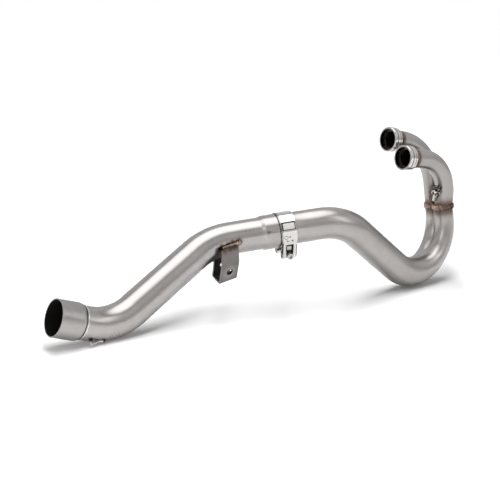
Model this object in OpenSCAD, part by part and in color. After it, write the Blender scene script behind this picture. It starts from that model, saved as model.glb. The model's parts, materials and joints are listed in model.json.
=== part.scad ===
// Two-into-one exhaust header of a motorcycle, in stainless tube.
// Two primary tubes run down from the exhaust ports to a ring weld. Under it the down pipe starts
// as a two-lobed tube and turns round through the low bend. A slotted slip joint with a band clamp
// joins it to the link pipe, which ends in the socket for the silencer.
// The origin is the centre of the near port's mouth. X runs forward along the machine, Y to the
// far side and Z up. Every tube is set out by the corners of its centre line and its bend radii.

/* [Ports] */
// Distance between the two ports, across the machine
port_spacing = 52; // [48:1:62]
// Height of the far port above the near one
port_rise = 24; // [10:1:34]
// How far the far port stands ahead of the near one
port_lead = 11; // [0:1:20]
// Downward tilt of the tubes as they leave the ports, in degrees
port_tilt = 7; // [0:1:12]
// Turn of the tubes to the far side as they leave the ports, in degrees
port_turn = 2; // [-3:0.5:4]
// Outer diameter of an inlet collar
collar_od = 42; // [41:0.5:46]
// Bore of an inlet collar at its mouth
collar_bore = 36; // [34.5:0.5:37.5]
// Depth of the collar's mouth bore
collar_seat = 9; // [6:1:12]

/* [Primary tubes] */
// Outer diameter of a primary tube
primary_od = 32; // [30:0.5:33]
// Wall of a primary tube
primary_wall = 1.5; // [1:0.1:2.5]
// Centre line radius of the near tube's bend
near_bend = 64; // [58:1:68]
// Centre line radius of the far tube's bend
far_bend = 74; // [62:1:76]
// From the near mouth forward to the corner of its tube
near_reach = 105; // [98:1:112]
// How much nearer to its mouth the far tube's corner lies
far_less = 8; // [3:1:12]

/* [Collector] */
// From the reach of the near tube's corner back to the ring weld
ring_back = 2.5; // [-2:0.5:6]
// Ring weld to the far side of the near port
ring_side = 17; // [12:1:22]
// Ring weld below the near port
ring_drop = 95; // [90:1:110]
// Turn of the two lobes away from square across, in degrees
lobe_turn = 10; // [0:1:20]
// Turn of the lobes back again on their way down, in degrees
lobe_twist = 9; // [0:1:24]
// How far the two lobes cross into each other at the ring weld
lobe_lap = 6; // [3:0.5:8]
// How much larger in radius a lobe is than the primary tube that stands on it
lobe_over = 0.1; // [0:0.1:0.8]
// Share of the low bend that the lobes reach into
lobe_reach = 0.8; // [0.6:0.05:0.9]
// Share of the lobed length over which the lobes fade out
lobe_fade = 0.75; // [0.5:0.05:0.9]

/* [Main pipe] */
// Outer diameter of the down pipe and the link pipe
pipe_od = 50; // [46:1:54]
// Wall of both pipes
pipe_wall = 1.5; // [1:0.1:2.5]
// Low corner ahead of the near port
low_ahead = 118; // [108:1:126]
// Low corner to the far side of the near port
low_side = 0; // [-8:1:8]
// Low corner below the near port
low_drop = 287; // [283:1:300]
// Centre line radius of the low bend
low_bend = 79; // [70:1:80]
// High corner behind the near port
high_back = 142; // [132:1:152]
// High corner to the near side
high_side = 24; // [14:1:34]
// High corner below the near port
high_drop = 84; // [76:1:94]
// Centre line radius of the high bend
high_bend = 91; // [80:1:100]

/* [Link pipe] */
// Knee corner behind the near port
knee_back = 350; // [340:1:360]
// Knee corner to the far side
knee_side = 38; // [28:1:48]
// Knee corner below the near port
knee_drop = 105; // [97:1:113]
// Centre line radius of the knee bend
knee_bend = 110; // [90:1:115]
// Heel corner behind the near port
heel_back = 524; // [516:1:532]
// Heel corner to the far side
heel_side = 19; // [10:1:30]
// Heel corner below the near port
heel_drop = 206; // [198:1:212]
// Centre line radius of the heel bend
heel_bend = 90; // [75:1:92]
// Outlet mouth behind the near port
outlet_back = 614; // [613:1:624]
// Outlet mouth to the far side
outlet_side = 16; // [6:1:26]
// Outlet mouth below the near port
outlet_drop = 175; // [168:1:182]

/* [Outlet sleeve] */
// How much wider the outlet sleeve is than the pipe
sleeve_over = 5; // [3:0.5:8]
// Wall of the outlet sleeve
sleeve_wall = 1.5; // [1:0.1:2.5]
// Length of the sleeve from its mouth to the weld
sleeve_len = 42; // [38:1:50]
// Length of the rounded shoulder at the sleeve's small end
sleeve_shoulder = 8; // [6:1:12]

/* [Slip joint and clamp] */
// From the knee corner to the middle of the clamp
clamp_at = 121; // [119:1:125]
// Width of the clamp band
clamp_width = 23; // [20:1:25]
// Thickness of the clamp band
clamp_band_t = 0.8; // [0.6:0.1:1.2]
// Length of the link pipe's expanded end
socket_len = 52; // [48:1:54]
// Clearance between the two pipes in the slip joint
socket_fit = 0.3; // [0.2:0.05:0.5]
// Width of the slots in the expanded end
slot_width = 3; // [2:0.5:5]
// Length of the slots
slot_len = 43; // [36:1:44]
// Diameter of the clamp's cross bars
bar_d = 9; // [8:0.5:10]
// Diameter of the clamp bolt
bolt_d = 6; // [5:0.5:6]
// Turn of the clamp round the pipe, loops to the far side, in degrees
clamp_roll = 6; // [-10:1:12]

/* [Mount bracket] */
// Angle of the knee bend left ahead of the bracket's middle, in degrees
bracket_back = 10; // [8:1:14]
// Length of the bracket along its folds
bracket_len = 31; // [26:1:34]
// Depth of the bracket's channel, outside to outside
bracket_depth = 23; // [20:1:26]
// Sheet thickness of the bracket
bracket_t = 3; // [2:0.5:3.5]
// Near flange's outer face to the near side of the pipe's centre line
bracket_side = 39; // [36:1:41]
// Underside of the bracket below the pipe's centre line
bracket_drop = 52; // [46:1:58]
// Height of the straight part of the near flange
bracket_rise = 36; // [32:1:40]
// Lean of the near flange's upper part back to the pipe, in degrees
bracket_fold = 16; // [12:1:22]
// Roll of the bracket about its length, in degrees
bracket_roll = 25; // [15:1:30]
// Yaw of the bracket's length from the machine's length, in degrees
bracket_yaw = 2; // [0:1:8]
// Rise of the bracket's length to the front, in degrees
bracket_pitch = 9; // [5:1:13]
// Height of the bracket's bolt hole above its underside
hole_rise = 20; // [14:1:24]
// Diameter of the bracket's bolt hole
hole_d = 9; // [6.5:0.5:10]

/* [Small parts] */
// Height of the weld beads
bead = 2.6; // [2:0.1:3.2]
// Outer diameter of the test port's stub
stub_d = 8; // [7:0.5:9]
// Length of the test port's stub
stub_len = 17; // [15:1:20]
// Width across the flats of the test port's plug
plug_af = 14; // [12:0.5:16]
// Wire diameter of the spring hook
wire_d = 3; // [2.5:0.1:3.5]

/* [Hidden] */
$fn = 96;

// Colours
steel = [0.66, 0.65, 0.63];
polished = [0.80, 0.80, 0.80];
sheet = [0.42, 0.41, 0.40];
heat = [0.50, 0.36, 0.28];

// Radii worked out from the diameters
pipe_r = pipe_od / 2;
primary_r = primary_od / 2;
collar_r = collar_od / 2;
sleeve_r = pipe_r + sleeve_over / 2;
wire_r = wire_d / 2;
stub_r = stub_d / 2;
bar_r = bar_d / 2;

// Small allowances
draw = 0.05;      // a bend comes out this much thinner than the straight tube
lap = 1;          // length by which one stretch of a tube runs into the next
touch = 0.05;     // gap between pieces that are welded or clamped together
past = 1;         // how far a cutting shape runs past what it cuts

// Vectors
function unit(v) = v / norm(v);
function turn(a, b) = acos(unit(a) * unit(b));
function square_to(v, d) = unit(v - d * (v * d));
function ring_angle(i, n) = 360 * i / n;

// Corners of the centre lines
near_port = [0, 0, 0];
far_port = [port_lead, port_spacing, port_rise];
port_dir = [cos(port_tilt) * cos(port_turn), cos(port_tilt) * sin(port_turn), -sin(port_tilt)];
ring = [near_reach - ring_back, ring_side, -ring_drop];
low_corner = [low_ahead, low_side, -low_drop];
high_corner = [-high_back, -high_side, -high_drop];
knee_corner = [-knee_back, knee_side, -knee_drop];
heel_corner = [-heel_back, heel_side, -heel_drop];
outlet = [-outlet_back, outlet_side, -outlet_drop];
ring_dir = unit(ring - low_corner);
joint_dir = unit(high_corner - knee_corner);
outlet_dir = unit(heel_corner - outlet);

// Lobe centres at the ring weld, square to the pipe there
lobe_dir = square_to([sin(lobe_turn), cos(lobe_turn), 0], ring_dir);
lobe_mid = (primary_od - lobe_lap) / 2;
near_foot = ring - lobe_dir * lobe_mid;
far_foot = ring + lobe_dir * lobe_mid;
near_corner = near_port + port_dir * near_reach;
far_corner = far_port + port_dir * (near_reach - far_less);
near_leg = unit(near_corner - near_foot);
far_leg = unit(far_corner - far_foot);

// Length from a corner to where its bend starts
function lead(a, b, c, r) = r * tan(turn(b - a, c - b) / 2);
function leads(p, r) = [for (i = [0 : len(p) - 1])
  i == 0 || i == len(p) - 1 ? 0 : lead(p[i - 1], p[i], p[i + 1], r[i - 1])];

// Sets its children at a point, with their Z along d and their X as near to x as can be
module aim(p, d, x = [0, 1, 0]) {
  u = square_to(x, d);
  v = cross(d, u);
  multmatrix([[u[0], v[0], d[0], p[0]], [u[1], v[1], d[1], p[1]], [u[2], v[2], d[2], p[2]], [0, 0, 0, 1]])
    children();
}

// Solid of one bend round corner b
module elbow(a, b, c, bend_r, r) {
  d = unit(b - a);
  n = square_to(unit(c - b), d);
  start = b - d * lead(a, b, c, bend_r);
  o = start + n * bend_r;
  z = cross(-n, d);
  multmatrix([[-n[0], d[0], z[0], o[0]], [-n[1], d[1], z[1], o[1]], [-n[2], d[2], z[2], o[2]], [0, 0, 0, 1]])
    rotate_extrude(angle = turn(b - a, c - b))
      translate([bend_r, 0])
        circle(r = r);
}

// Solid of round section r that follows corners p with bend radii b, less a length cut at each end
module run(p, b, r, cut_start = 0, cut_end = 0) {
  t = leads(p, b);
  last = len(p) - 1;
  for (i = [0 : last - 1]) {
    d = unit(p[i + 1] - p[i]);
    from = i == 0 ? cut_start : t[i] - lap;
    to = norm(p[i + 1] - p[i]) - (i == last - 1 ? cut_end : t[i + 1] - lap);
    aim(p[i] + d * from, d)
      cylinder(h = to - from, r = r);
  }
  for (i = [1 : last - 1])
    elbow(p[i - 1], p[i], p[i + 1], b[i - 1], r - draw);
}

// Bead of round section along a straight line, with blunt ends
module bead_bar(a, b, r, x = [0, 1, 0]) {
  long = norm(b - a);
  aim(a, unit(b - a), x)
    rotate_extrude()
      polygon([[0, -0.9 * r], [0.45 * r, -0.8 * r], [0.8 * r, -0.5 * r], [r, 0], [r, long],
        [0.8 * r, long + 0.5 * r], [0.45 * r, long + 0.8 * r], [0, long + 0.9 * r]]);
}

// Inlet collars
collar_lip = 5;            // width of the lip at the mouth
collar_band_end = 11;      // end of the wide band, from the mouth
collar_rib_end = 16;       // end of the rib behind it
collar_len = 20;           // whole collar
collar_groove = 1.4;       // width and depth of the groove before the rib
tube_start = collar_seat + 2;  // where the primary tube starts inside the collar

module collar(p) {
  color(polished)
    aim(p, port_dir)
      rotate_extrude()
        polygon([
          [collar_bore / 2, 0], [collar_r - 0.6, 0], [collar_r, 0.6], [collar_r, collar_lip],
          [collar_r - 0.7, collar_lip + 0.3], [collar_r - 0.7, collar_lip + 1.3],
          [collar_r, collar_lip + 1.6], [collar_r, collar_band_end],
          [collar_r - collar_groove, collar_band_end + 0.3],
          [collar_r - collar_groove, collar_band_end + collar_groove],
          [collar_r - 0.8, collar_band_end + collar_groove + 0.3], [collar_r - 0.8, collar_rib_end],
          [primary_r + 1.2, collar_len], [primary_r + touch, collar_len],
          [primary_r + touch, tube_start], [primary_r - primary_wall, tube_start],
          [primary_r - primary_wall, collar_seat + 0.6], [collar_bore / 2, collar_seat]
        ]);
}

module collar_weld(p) {
  color(heat)
    aim(p + port_dir * (collar_len + touch), port_dir)
      rotate_extrude()
        polygon([
          [primary_r + touch, 0], [primary_r + 1.4, 0], [primary_r + 1.9, 1], [primary_r + 1.7, 2.4],
          [primary_r + 1, 3.6], [primary_r + touch, 4.2]
        ]);
}

module inlet_collar_near() collar(near_port);
module inlet_collar_far() collar(far_port);
module collar_weld_near() collar_weld(near_port);
module collar_weld_far() collar_weld(far_port);

// Primary tubes
foot_spare = 8;            // extra length below the ring weld, cut off square to the down pipe
seam_top = near_foot + near_leg * ring_drop / 3;
seam_far = far_foot + far_leg * ring_drop / 3;
seam_rise = unit((seam_top + seam_far) / 2 - ring);
seam_normal = square_to(unit(seam_far - seam_top), seam_rise);

module primary(foot, leg, corner, mouth, bend_r, side) {
  path = [foot - leg * foot_spare, corner, mouth + port_dir * tube_start];
  block = 120;             // edge of the cutting blocks, larger than a tube
  color(steel)
    difference() {
      run(path, [bend_r], primary_r);
      run(path, [bend_r], primary_r - primary_wall, -past, -past);
      aim(ring + ring_dir * touch, -ring_dir)
        translate([-block / 2, -block / 2, 0])
          cube(block);
      // the two tubes are cut off flat where they meet
      aim(ring - seam_normal * side * touch / 2, seam_normal * side, seam_rise)
        translate([-foot_spare, -block / 2, 0])
          cube([seam_len() + foot_spare, block, block]);
    }
}

// Length of the flat joint between the two primary tubes, up to where they part
function gap_at(h) = norm((far_foot + far_leg * h) - (near_foot + near_leg * h));
function seam_len() = lobe_lap / (gap_at(1) - gap_at(0)) + primary_r / 2;

module primary_tube_near() primary(near_foot, near_leg, near_corner, near_port, near_bend, 1);
module primary_tube_far() primary(far_foot, far_leg, far_corner, far_port, far_bend, -1);

// Beads up the valley between the primary tubes, on both sides
ring_bead_top = 6;         // top of the ring bead above the ring weld's plane
seam_r = bead + 2;
module seam_weld(side) {
  out = unit(cross(seam_rise, seam_normal)) * side;
  top = lobe_lap / (gap_at(1) - gap_at(0)) * 0.95;
  valley = sqrt(pow(primary_r, 2) - pow(lobe_mid, 2));
  low = ring + seam_rise * seam_r + out * (valley + seam_r - 0.2);
  high = ring + seam_rise * top + out * seam_r * 2;
  color(heat)
    difference() {
      bead_bar(low, high, seam_r, [1, 1, 0]);
      for (t = [[near_foot, near_leg], [far_foot, far_leg]])
        aim(t[0] - t[1] * foot_spare, t[1])
          cylinder(h = ring_drop, r = primary_r + touch);
      aim(ring + ring_dir * (ring_bead_top + touch), -ring_dir)
        cylinder(h = primary_od, r = primary_od);
    }
}

module seam_weld_rear() seam_weld(1);
module seam_weld_front() seam_weld(-1);

// Test port on the rear face of the near primary tube
stub_lean = 31;            // lean of the stub away from the tube, in degrees
stub_lean_to = 238;        // the way it leans, in degrees round from the front
stub_rise = 12;             // foot of the stub above the ring weld
stub_turn = 170;           // side of the near tube that the stub stands on, from the front, in degrees
stub_side = square_to([cos(stub_turn), sin(stub_turn), 0], near_leg);
stub_dir = unit(near_leg * cos(stub_lean) + [cos(stub_lean_to), sin(stub_lean_to), 0] * sin(stub_lean));
stub_foot = near_foot + near_leg * stub_rise + stub_side * (primary_r + stub_r * 0.8);
stub_bore = 2.6;
washer_t = 1.5;
plug_h = 9;

module test_port_boss() {
  color(polished)
    difference() {
      aim(stub_foot, stub_dir)
        difference() {
          cylinder(h = stub_len, r1 = stub_r * 0.8, r2 = stub_r * 1.1);
          translate([0, 0, 3])
            cylinder(h = stub_len, r = stub_bore);
        }
      aim(near_foot, near_leg)
        cylinder(h = ring_drop, r = primary_r + touch);
    }
}

module test_port_plug() {
  head = stub_len + touch;
  color(sheet)
    aim(stub_foot, stub_dir) {
      translate([0, 0, head])
        cylinder(h = washer_t, r = plug_af / 2 + 1);
      translate([0, 0, head + washer_t])
        cylinder(h = plug_h, r = plug_af / sqrt(3), $fn = 6);
      translate([0, 0, head - 9])
        cylinder(h = 10, r = stub_bore - 0.1);
    }
}

// Two-lobed section, in polar form, for lobes of radius r with their centres m either side
function lobed(a, r, m) = let (c = sqrt(pow(cos(a), 2) + 0.02)) m * c + sqrt(pow(r, 2) - pow(m * sin(a), 2));

// Down pipe
low_turn = turn(low_corner - ring, high_corner - low_corner);
low_lead = lead(ring, low_corner, high_corner, low_bend);
neck = norm(low_corner - ring) - low_lead;     // straight length under the ring weld
fade_turn = low_turn * lobe_reach;              // angle of the low bend that the lobes reach into
neck_steps = 2;
bend_steps = 16;
around = 40;
low_side_dir = square_to(unit(high_corner - low_corner), -ring_dir);
lobe_r = primary_r + lobe_over;

// Point and direction of the centre line at step i, counted down from the ring weld
function down_angle(i) = i <= neck_steps ? 0 : fade_turn * (i - neck_steps) / bend_steps;
function down_dir(i) = -ring_dir * cos(down_angle(i)) + low_side_dir * sin(down_angle(i));
function down_point(i) = i <= neck_steps
  ? ring - ring_dir * neck * i / neck_steps
  : ring - ring_dir * (neck + low_bend * sin(down_angle(i))) + low_side_dir * low_bend * (1 - cos(down_angle(i)));

// How much of the lobed form is left at step i: all of it at the ring weld, none at the last step
function fade(i) = let (u = min(1, (1 - i / (neck_steps + bend_steps)) / lobe_fade)) u * u * (3 - 2 * u);
function section_r(i, a, inset) = let (w = fade(i))
  (1 - w) * (pipe_r - inset) + w * lobed(a, lobe_r - inset, lobe_mid);
function section(i, inset) = let (
  d = down_dir(i),
  w = square_to(lobe_dir, d),
  q = lobe_twist * sin(90 * min(1, 2 * i / (neck_steps + bend_steps))),
  u = w * cos(q) - cross(d, w) * sin(q),
  v = cross(d, u),
  p = down_point(i)
)
  [for (k = [0 : around - 1]) let (a = ring_angle(k, around), q = section_r(i, a, inset))
    p + u * q * cos(a) + v * q * sin(a)];

// A closed tube wall from rings of points: first the outside, then the inside
module shell(outer, inner) {
  n = len(outer[0]);
  m = len(outer);
  points = [for (r = outer) each r, for (r = inner) each r];
  function at(j, i, k) = (j * m + i) * n + k % n;
  side_out = [for (i = [0 : m - 2], k = [0 : n - 1]) [at(0, i, k), at(0, i + 1, k), at(0, i + 1, k + 1), at(0, i, k + 1)]];
  side_in = [for (i = [0 : m - 2], k = [0 : n - 1]) [at(1, i, k), at(1, i, k + 1), at(1, i + 1, k + 1), at(1, i + 1, k)]];
  top = [for (k = [0 : n - 1]) [at(0, 0, k), at(0, 0, k + 1), at(1, 0, k + 1), at(1, 0, k)]];
  end = [for (k = [0 : n - 1]) [at(0, m - 1, k), at(1, m - 1, k), at(1, m - 1, k + 1), at(0, m - 1, k + 1)]];
  polyhedron(points = points, faces = concat(side_out, side_in, top, end), convexity = 6);
}

// The lobed stretch ends just inside the wall of the round tube that follows it
module lobed_stretch() {
  last = neck_steps + bend_steps;
  skin = 0.15;
  outer = [for (i = [0 : last]) section(i, fade(i) > 0 ? skin * (1 - fade(i)) : skin)];
  inner = [for (i = [0 : last]) section(i, pipe_wall - (fade(i) > 0 ? skin * (1 - fade(i)) : skin))];
  shell(outer, inner);
}

slip_end = clamp_at + clamp_width / 2 - socket_len + 6;  // end of the down pipe, from the knee corner

// Round part of the down pipe: the end of the low bend, the long straight and the high bend
module round_stretch(r, extra) {
  rest = low_turn - fade_turn + 0.8;           // angle of the low bend that stays round, with its lap
  t_high = lead(low_corner, high_corner, knee_corner, high_bend);
  d = unit(high_corner - low_corner);
  far = norm(high_corner - low_corner);
  bend_end = low_corner + d * low_lead;
  centre = bend_end + square_to(ring_dir, d) * low_bend;
  n = unit(centre - bend_end);
  z = cross(n, d);
  // last part of the low bend, turned back from where the long straight starts
  multmatrix([[-n[0], -d[0], z[0], centre[0]], [-n[1], -d[1], z[1], centre[1]], [-n[2], -d[2], z[2], centre[2]], [0, 0, 0, 1]])
    rotate([0, 0, -extra])
      rotate_extrude(angle = rest + 2 * extra)
        translate([low_bend, 0])
          circle(r = r - 2 * draw);
  aim(low_corner + d * (low_lead - lap), d)
    cylinder(h = far - low_lead - t_high + 2 * lap, r = r);
  elbow(low_corner, high_corner, knee_corner, high_bend, r - draw);
  aim(high_corner - joint_dir * (t_high - lap), -joint_dir)
    cylinder(h = norm(high_corner - knee_corner) - t_high - slip_end + lap + extra, r = r);
}

module down_pipe() {
  color(steel) {
    difference() {
      round_stretch(pipe_r, 0);
      round_stretch(pipe_r - pipe_wall, past);
    }
    lobed_stretch();
  }
}

// Ring bead that closes the joint between the primary tubes and the down pipe
module collector_weld() {
  n = around;
  profile = [[0.2, -2.6], [bead * 0.4, -2], [bead * 0.55, 0.5], [bead * 0.45, 3.4],
    [0.4, ring_bead_top - 0.4], [-0.4, ring_bead_top], [-0.4, touch], [0.2, touch]];
  m = len(profile);
  v = cross(ring_dir, lobe_dir);
  points = [for (k = [0 : n - 1], q = profile)
    let (a = ring_angle(k, n), r = lobed(a, lobe_r + q[0], lobe_mid))
      ring + lobe_dir * r * cos(a) + v * r * sin(a) + ring_dir * q[1]];
  faces = [for (k = [0 : n - 1], j = [0 : m - 1])
    [k * m + j, k * m + (j + 1) % m, (k + 1) % n * m + (j + 1) % m, (k + 1) % n * m + j]];
  color(heat)
    difference() {
      polyhedron(points = points, faces = faces, convexity = 6);
      for (t = [[near_foot, near_leg], [far_foot, far_leg]])
        aim(t[0] - t[1] * foot_spare, t[1])
          cylinder(h = ring_drop / 2, r = primary_r + touch);
    }
}

// Link pipe
link_path = [outlet, heel_corner, knee_corner, high_corner];
joint_len = norm(high_corner - knee_corner);
socket_end = clamp_at + clamp_width / 2 - 1;   // end of the link pipe, measured from the knee corner
socket_r = pipe_r + socket_fit + pipe_wall;
socket_taper = 5;
slot_side = [0, -1, 0.25];                     // the slot that shows faces the near side

module socket(r, grow, extra) {
  aim(knee_corner + joint_dir * (socket_end - socket_len), joint_dir) {
    cylinder(h = socket_taper, r1 = r, r2 = r + grow);
    translate([0, 0, socket_taper])
      cylinder(h = socket_len - socket_taper + extra, r = r + grow);
  }
}

module link_pipe() {
  grow = socket_fit + pipe_wall;
  body_end = joint_len - (socket_end - socket_len) - lap;
  color(steel)
    difference() {
      union() {
        run(link_path, [heel_bend, knee_bend], pipe_r, sleeve_len + touch, body_end);
        socket(pipe_r, grow, 0);
      }
      run(link_path, [heel_bend, knee_bend], pipe_r - pipe_wall, sleeve_len - past, body_end - past);
      socket(pipe_r - pipe_wall, grow, past);
      // two slots let the end close on the down pipe
      aim(knee_corner + joint_dir * (socket_end - slot_len), joint_dir, slot_side)
        for (s = [0, 180])
          rotate([0, 0, s]) {
            translate([0, -slot_width / 2, 0])
              cube([socket_r * 2, slot_width, slot_len + past]);
            rotate([0, 90, 0])
              cylinder(h = socket_r * 2, r = slot_width / 2 + 0.6);
          }
    }
}

// Band clamp round the slip joint. Its profile lies square to the pipe: X across, Y up
clamp_mid = knee_corner + joint_dir * clamp_at;
across = unit(cross([0, 0, 1], joint_dir));
band_r = socket_r + 0.1;
bar_x = 13.5;                                   // cross bars either side of the pipe's middle
bar_drop = 10.5;                               // and below the band
bar_y = -band_r - bar_drop;
bar_pos = [-bar_x, bar_y];
bar_reach = norm(bar_pos);
bar_angle = atan2(bar_y, -bar_x) + 360;
// where the strap leaves the band for the cross bar, and where it comes back to the band
leave = bar_angle - acos((band_r + bar_r + clamp_band_t) / bar_reach);
back = bar_angle - acos((band_r + clamp_band_t - bar_r) / bar_reach);
strap_lap = 32;                                // angle that the folded strap lies back on the band
function arc(c, r, a, b, n) = [for (i = [0 : n]) let (t = a + (b - a) * i / n) c + r * [cos(t), sin(t)]];

// Outline of half the strap, from the top of the pipe to the folded end and back
function half_strap() = concat(
  arc([0, 0], band_r, 90, leave, 40),
  arc(bar_pos, bar_r + clamp_band_t, leave + 180, back, 28),
  arc([0, 0], band_r + 2 * clamp_band_t, back, back - strap_lap, 12),
  arc([0, 0], band_r + clamp_band_t + 0.02, back - strap_lap, back, 12),
  arc(bar_pos, bar_r, back, leave + 180, 28),
  arc([0, 0], band_r + clamp_band_t, leave, back, 8),
  arc([0, 0], band_r + clamp_band_t, back, 90, 32)
);

// Sets children square to the pipe at the clamp, with X across and Y up
module at_clamp() {
  aim(clamp_mid, joint_dir, across)
    rotate([0, 0, clamp_roll])
      children();
}

window = 11;
module clamp_band() {
  color(polished)
    at_clamp()
      difference() {
        for (s = [0, 1])
          mirror([s, 0, 0])
            translate([0, 0, -clamp_width / 2])
              linear_extrude(clamp_width)
                polygon(half_strap());
        // windows in the strap for the bolt
        for (s = [-1, 1])
          translate([s * (bar_x + bar_r), bar_y + 1.5, 0])
            cube([3 * bar_d, 2 * bolt_d + 3, window], center = true);
      }
}

// Cross bars in the strap's two loops
module clamp_bar(s, hole) {
  color(polished)
    at_clamp()
      translate([s * bar_x, bar_y, 0])
        difference() {
          cylinder(h = clamp_width - 1, r = bar_r - touch, center = true);
          rotate([0, 90, 0])
            cylinder(h = bar_d * 2, r = hole, center = true);
        }
}

module clamp_bar_plain() clamp_bar(-1, bolt_d / 2 + 0.2);
module clamp_bar_threaded() clamp_bar(1, bolt_d / 2 + touch);

head_h = 6;
module clamp_bolt() {
  seat = bar_x + bar_r + 0.4;
  color(polished)
    at_clamp()
      translate([-seat, bar_y, 0])
        rotate([0, 90, 0]) {
          cylinder(h = 2 * seat + 6, r = bolt_d / 2);
          translate([0, 0, -head_h])
            difference() {
              cylinder(h = head_h, r = bolt_d * 0.8);
              translate([0, 0, -past])
                cylinder(h = head_h / 2 + past, r = bolt_d * 0.48, $fn = 6);
            }
        }
}

// Point and direction of the link pipe's centre line, a degrees back from the front end of the knee
// bend. Below zero the point lies on the straight part ahead of the bend.
knee_lead = lead(heel_corner, knee_corner, high_corner, knee_bend);
knee_in = square_to(unit(heel_corner - knee_corner), joint_dir);
function knee_dir(a) = joint_dir * cos(max(0, a)) - knee_in * sin(max(0, a));
function knee_point(a) = let (b = max(0, a), past_end = knee_bend * min(0, a) * PI / 180)
  knee_corner + joint_dir * (knee_lead - past_end - knee_bend * sin(b)) + knee_in * knee_bend * (1 - cos(b));

// Point g outside the link pipe's skin on its near side, an angle below its middle height
function skin_point(a, below, g) = let (
  d = knee_dir(a),
  near = unit(cross(d, [0, 0, 1])),
  r = pipe_r + g
) knee_point(a) + near * r * cos(below) - cross(near, d) * r * sin(below);

// Folded bracket, a channel under the pipe: L along its folds, N across it and U up its flanges
bracket_mid = knee_point(bracket_back);
bracket_l = [cos(bracket_yaw) * cos(bracket_pitch), sin(bracket_yaw) * cos(bracket_pitch), sin(bracket_pitch)];
bracket_n = let (n = unit(cross([0, 0, 1], bracket_l))) n * cos(bracket_roll) + cross(bracket_l, n) * sin(bracket_roll);
bracket_u = cross(bracket_l, bracket_n);
fold_r = bracket_t + 1;
near_face = -bracket_side;
far_face = near_face + bracket_depth;
fold_u = bracket_rise - bracket_drop;          // height of the near flange's upper fold
flange_reach = 32;                             // length of the near flange's upper part
lean = [sin(bracket_fold), cos(bracket_fold)];

// Point of the bracket's space, in the part's own axes
function bracket_point(l, n, u) = bracket_mid + bracket_l * l + bracket_n * n + bracket_u * u;

// Where the far flange's plane meets the underside of the pipe
function under_pipe(l, n, r) = let (
  d = knee_dir(bracket_back),
  a = bracket_l * l + bracket_n * n,
  k = bracket_u * d,
  e = a * d
) (e * k - sqrt(pow(e * k, 2) - (1 - k * k) * (a * a - e * e - r * r))) / (1 - k * k);

// The near weld's ends, on the pipe's skin
near_weld_a = skin_point(12, 9, 1.5);
near_weld_b = skin_point(-4, 2.5, 1.5);

module bracket_profile() {
  far_top = -10;
  difference() {
    union() {
      translate([near_face, -bracket_drop + fold_r])
        square([bracket_depth, bracket_rise - fold_r]);
      translate([near_face + fold_r, -bracket_drop])
        square([bracket_depth - 2 * fold_r, fold_r + 1]);
      for (n = [near_face + fold_r, far_face - fold_r])
        translate([n, -bracket_drop + fold_r])
          circle(r = fold_r);
    }
    translate([near_face + bracket_t, -bracket_drop + bracket_t])
      square([bracket_depth - 2 * bracket_t, bracket_drop]);
  }
  translate([near_face, fold_u])
    rotate(-bracket_fold)
      square([bracket_t, flange_reach]);
  translate([far_face - bracket_t, fold_u - 1])
    square([bracket_t, far_top - fold_u + 1]);
}

module mount_bracket() {
  color(sheet)
    difference() {
      aim(bracket_mid, bracket_l, bracket_n)
        translate([0, 0, -bracket_len / 2])
          linear_extrude(bracket_len)
            bracket_profile();
      aim(bracket_point(0, near_face - past, hole_rise - bracket_drop), bracket_n, bracket_l)
        cylinder(h = bracket_depth + 2 * past, r = hole_d / 2);
      run(link_path, [heel_bend, knee_bend], pipe_r + touch, sleeve_len, joint_len - socket_end);
      above_near_weld();
    }
}

// The near flange ends along its weld
module above_near_weld() {
  aim(near_weld_a, unit(near_weld_b - near_weld_a))
    translate([-pipe_od, 0, -pipe_od])
      cube([2 * pipe_od, pipe_od, 3 * pipe_od]);
}

weld_r = bead + 0.6;
module bracket_weld(a, b) {
  color(heat)
    difference() {
      bead_bar(a, b, weld_r, [0, 0.6, 0.8]);
      run(link_path, [heel_bend, knee_bend], pipe_r + touch, sleeve_len, joint_len - socket_end);
      difference() {
        aim(bracket_mid, bracket_l, bracket_n)
          translate([0, 0, -bracket_len])
            linear_extrude(2 * bracket_len)
              offset_flanges();
        translate([0, 0, touch])
          above_near_weld();
      }
    }
}

// The two flanges, grown by the gap that keeps the welds clear of them
module offset_flanges() {
  translate([near_face, fold_u])
    rotate(-bracket_fold)
      translate([-touch, -fold_r])
        square([bracket_t + 2 * touch, flange_reach + fold_r + touch]);
  translate([far_face - bracket_t - touch, -bracket_drop])
    square([bracket_t + 2 * touch, bracket_drop]);
}

weld_half = bracket_len / 2 - 1;
module bracket_weld_near() bracket_weld(near_weld_a, near_weld_b);
module bracket_weld_far() bracket_weld(
  bracket_point(-weld_half, far_face + 1, under_pipe(-weld_half, far_face + 1, pipe_r + 1)),
  bracket_point(weld_half, far_face + 1, under_pipe(weld_half, far_face + 1, pipe_r + 1))
);

// Outlet sleeve: a socket with a rounded shoulder down to the pipe's diameter
module sleeve_profile(r, small_r) {
  steps = 10;
  long = sleeve_len - sleeve_shoulder;
  polygon(concat(
    [[0, -past], [r, -past], [r, 0]],
    [for (i = [0 : steps]) let (u = i / steps)
      [small_r + (r - small_r) * (1 + cos(180 * u)) / 2, long + sleeve_shoulder * u]],
    [[small_r, sleeve_len + past], [0, sleeve_len + past]]
  ));
}

module outlet_sleeve() {
  color(steel)
    aim(outlet, outlet_dir)
      difference() {
        intersection() {
          rotate_extrude()
            sleeve_profile(sleeve_r, pipe_r);
          cylinder(h = sleeve_len, r = sleeve_r + past);
        }
        rotate_extrude()
          sleeve_profile(sleeve_r - sleeve_wall, pipe_r - pipe_wall);
      }
}

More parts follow.
